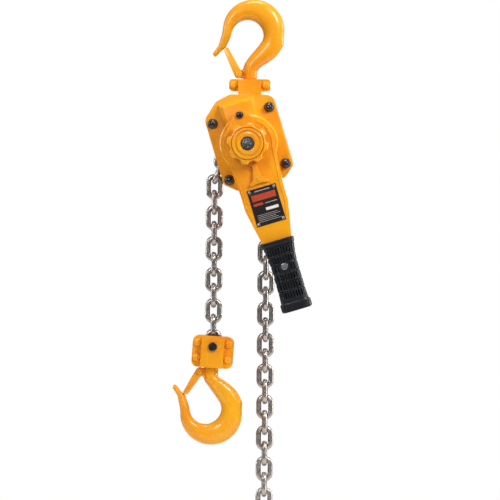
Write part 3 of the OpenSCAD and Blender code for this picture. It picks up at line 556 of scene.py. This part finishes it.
def grip_mesh():
    rows = np.concatenate([[WRIST_V, WRIST_V - 0.6], np.arange(WRIST_V - 1.2, END_V + 0.9, -0.55),
                           [END_V + 0.6, END_V]])
    cols = 220
    verts = []
    for v in rows:
        half = grip_half(v)
        thick = GRIP_T / 2 * (0.965 if WRIST_V - 6 > v > END_V + 13 else 1.0)
        if v > WRIST_V - 0.5 or v < END_V + 0.5:
            half, thick = half - 0.7, thick - 0.7
        for k in range(cols):
            a = 2 * math.pi * k / cols
            c, s = math.cos(a), math.sin(a)
            p = 3.6
            r = (abs(c) ** p + abs(s) ** p) ** (-1 / p)
            u, d = half * r * c, thick * r * s
            cut = 0.0
            along = WRIST_V - 9 - v
            if 0 < along < 84:
                band, inside = divmod(along, 14.0)
                if inside > 2.2 and inside < 13.0:
                    broad_face = abs(s) * thick * r > abs(c) * half * r * 0.55
                    across = (u + 17.1) / 4.28 if broad_face else (d + 9) / 4.5
                    f = across - math.floor(across)
                    groove = min(1.0, max(0.0, (0.5 - abs(f - 0.5) - 0.30) / 0.07))
                    lengthwise = min(1.0, max(0.0, min(inside - 2.2, 13.0 - inside) / 0.8))
                    cut = 2.3 * groove * lengthwise
                elif inside < 1.5:
                    cut = 1.1 * math.sin(math.pi * inside / 1.5)
            if abs(u) < 7.2 and d > 0 and abs(v - (WRIST_V - 42)) < 7.2:
                cut = 0.0
            verts.append(on_body(u * (1 - cut / max(half, 1)), v, CORE_D + d * (1 - cut / thick)))
    n = len(rows)
    faces = grid_faces(n, cols)
    faces.append(tuple(range(cols)))
    faces.append(tuple((n - 1) * cols + k for k in range(cols)))
    return build("grip_rubber", verts, faces, 50)


link("grip_rubber", grip_mesh(), RUBBER, "lever", ("grip",))

# ---------- stage, light and camera ----------


def area(name, at, to, size, power, colour=(1, 1, 1)):
    light = bpy.data.lights.new(name, "AREA")
    light.shape, light.size, light.size_y = "RECTANGLE", size[0], size[1]
    light.energy, light.color = power, colour
    o = bpy.data.objects.new(name, light)
    bpy.context.scene.collection.objects.link(o)
    o.location = at
    o.rotation_euler = (Vector(to) - Vector(at)).to_track_quat("-Z", "Y").to_euler()
    return o


centre = Vector((0.0022, 0, -0.3556))
bm = bmesh.new()
bmesh.ops.create_circle(bm, cap_ends=True, segments=96, radius=1.0)
mesh = bpy.data.meshes.new("floor")
bm.to_mesh(mesh)
bm.free()
floor = bpy.data.objects.new("floor", mesh)
floor.location = (0, 0, cad_box[0][2] - 0.02)
bpy.context.scene.collection.objects.link(floor)
b = Build("floor")
b.set(Base_Color=b.ramp(b.noise(3), [(0.3, (0.80, 0.80, 0.80)), (0.7, (0.84, 0.84, 0.84))]), Roughness=0.7)
mesh.materials.append(b.m)

area("key", (1.5, -1.6, 1.0), centre + Vector((0, 0, 0.15)), (0.35, 0.9), 40, (1.0, 0.98, 0.94))
area("fill", (-1.0, -2.2, 0.7), centre, (0.5, 0.8), 15)
area("left", (-1.8, 0.1, 0.0), centre, (0.2, 1.4), 12)
area("right_edge", (1.7, 0.3, -0.2), centre, (0.2, 1.4), 16)
area("top", (0.1, -0.3, 1.5), centre, (0.9, 0.5), 16)
area("back", (0.2, 2.4, 0.5), centre, (1.6, 1.6), 14)

world = bpy.data.worlds.new("studio")
bpy.context.scene.world = world
world.use_nodes = True
t = world.node_tree
t.nodes.clear()
path = t.nodes.new("ShaderNodeLightPath")
seen, lit = t.nodes.new("ShaderNodeBackground"), t.nodes.new("ShaderNodeBackground")
seen.inputs["Color"].default_value = (1, 1, 1, 1)
seen.inputs["Strength"].default_value = 1.0
grad = t.nodes.new("ShaderNodeTexGradient")
coords = t.nodes.new("ShaderNodeTexCoord")
turn = t.nodes.new("ShaderNodeMapping")
turn.inputs["Rotation"].default_value = (0, math.radians(90), 0)
turn.inputs["Scale"].default_value = (0.5, 0.5, 0.5)
turn.inputs["Location"].default_value = (0.5, 0, 0)
ramp = t.nodes.new("ShaderNodeValToRGB")
ramp.color_ramp.elements[0].color = (0.10, 0.10, 0.11, 1)
ramp.color_ramp.elements[1].color = (0.90, 0.90, 0.90, 1)
t.links.new(coords.outputs["Generated"], turn.inputs["Vector"])
t.links.new(turn.outputs[0], grad.inputs["Vector"])
t.links.new(grad.outputs["Fac"], ramp.inputs["Fac"])
t.links.new(ramp.outputs["Color"], lit.inputs["Color"])
lit.inputs["Strength"].default_value = 0.42
both = t.nodes.new("ShaderNodeMixShader")
out = t.nodes.new("ShaderNodeOutputWorld")
t.links.new(path.outputs["Is Camera Ray"], both.inputs["Fac"])
t.links.new(lit.outputs[0], both.inputs[1])
t.links.new(seen.outputs[0], both.inputs[2])
t.links.new(both.outputs[0], out.inputs["Surface"])
bpy.context.scene.view_settings.view_transform = "Standard"

camera = bpy.data.objects.new("camera", bpy.data.cameras.new("camera"))
bpy.context.scene.collection.objects.link(camera)
az, el, distance, field = math.radians(2.0), math.radians(1.0), 9.0, 0.775
camera.location = centre + distance * Vector((math.sin(az) * math.cos(el), -math.cos(az) * math.cos(el),
                                              math.sin(el)))
aim = (centre - camera.location).to_track_quat("-Z", "Y").to_matrix()
camera.rotation_euler = (aim @ Matrix.Rotation(math.radians(0.5), 3, "Z")).to_euler()
camera.data.sensor_width = 36
camera.data.lens = 36 * distance / field
bpy.context.scene.camera = camera
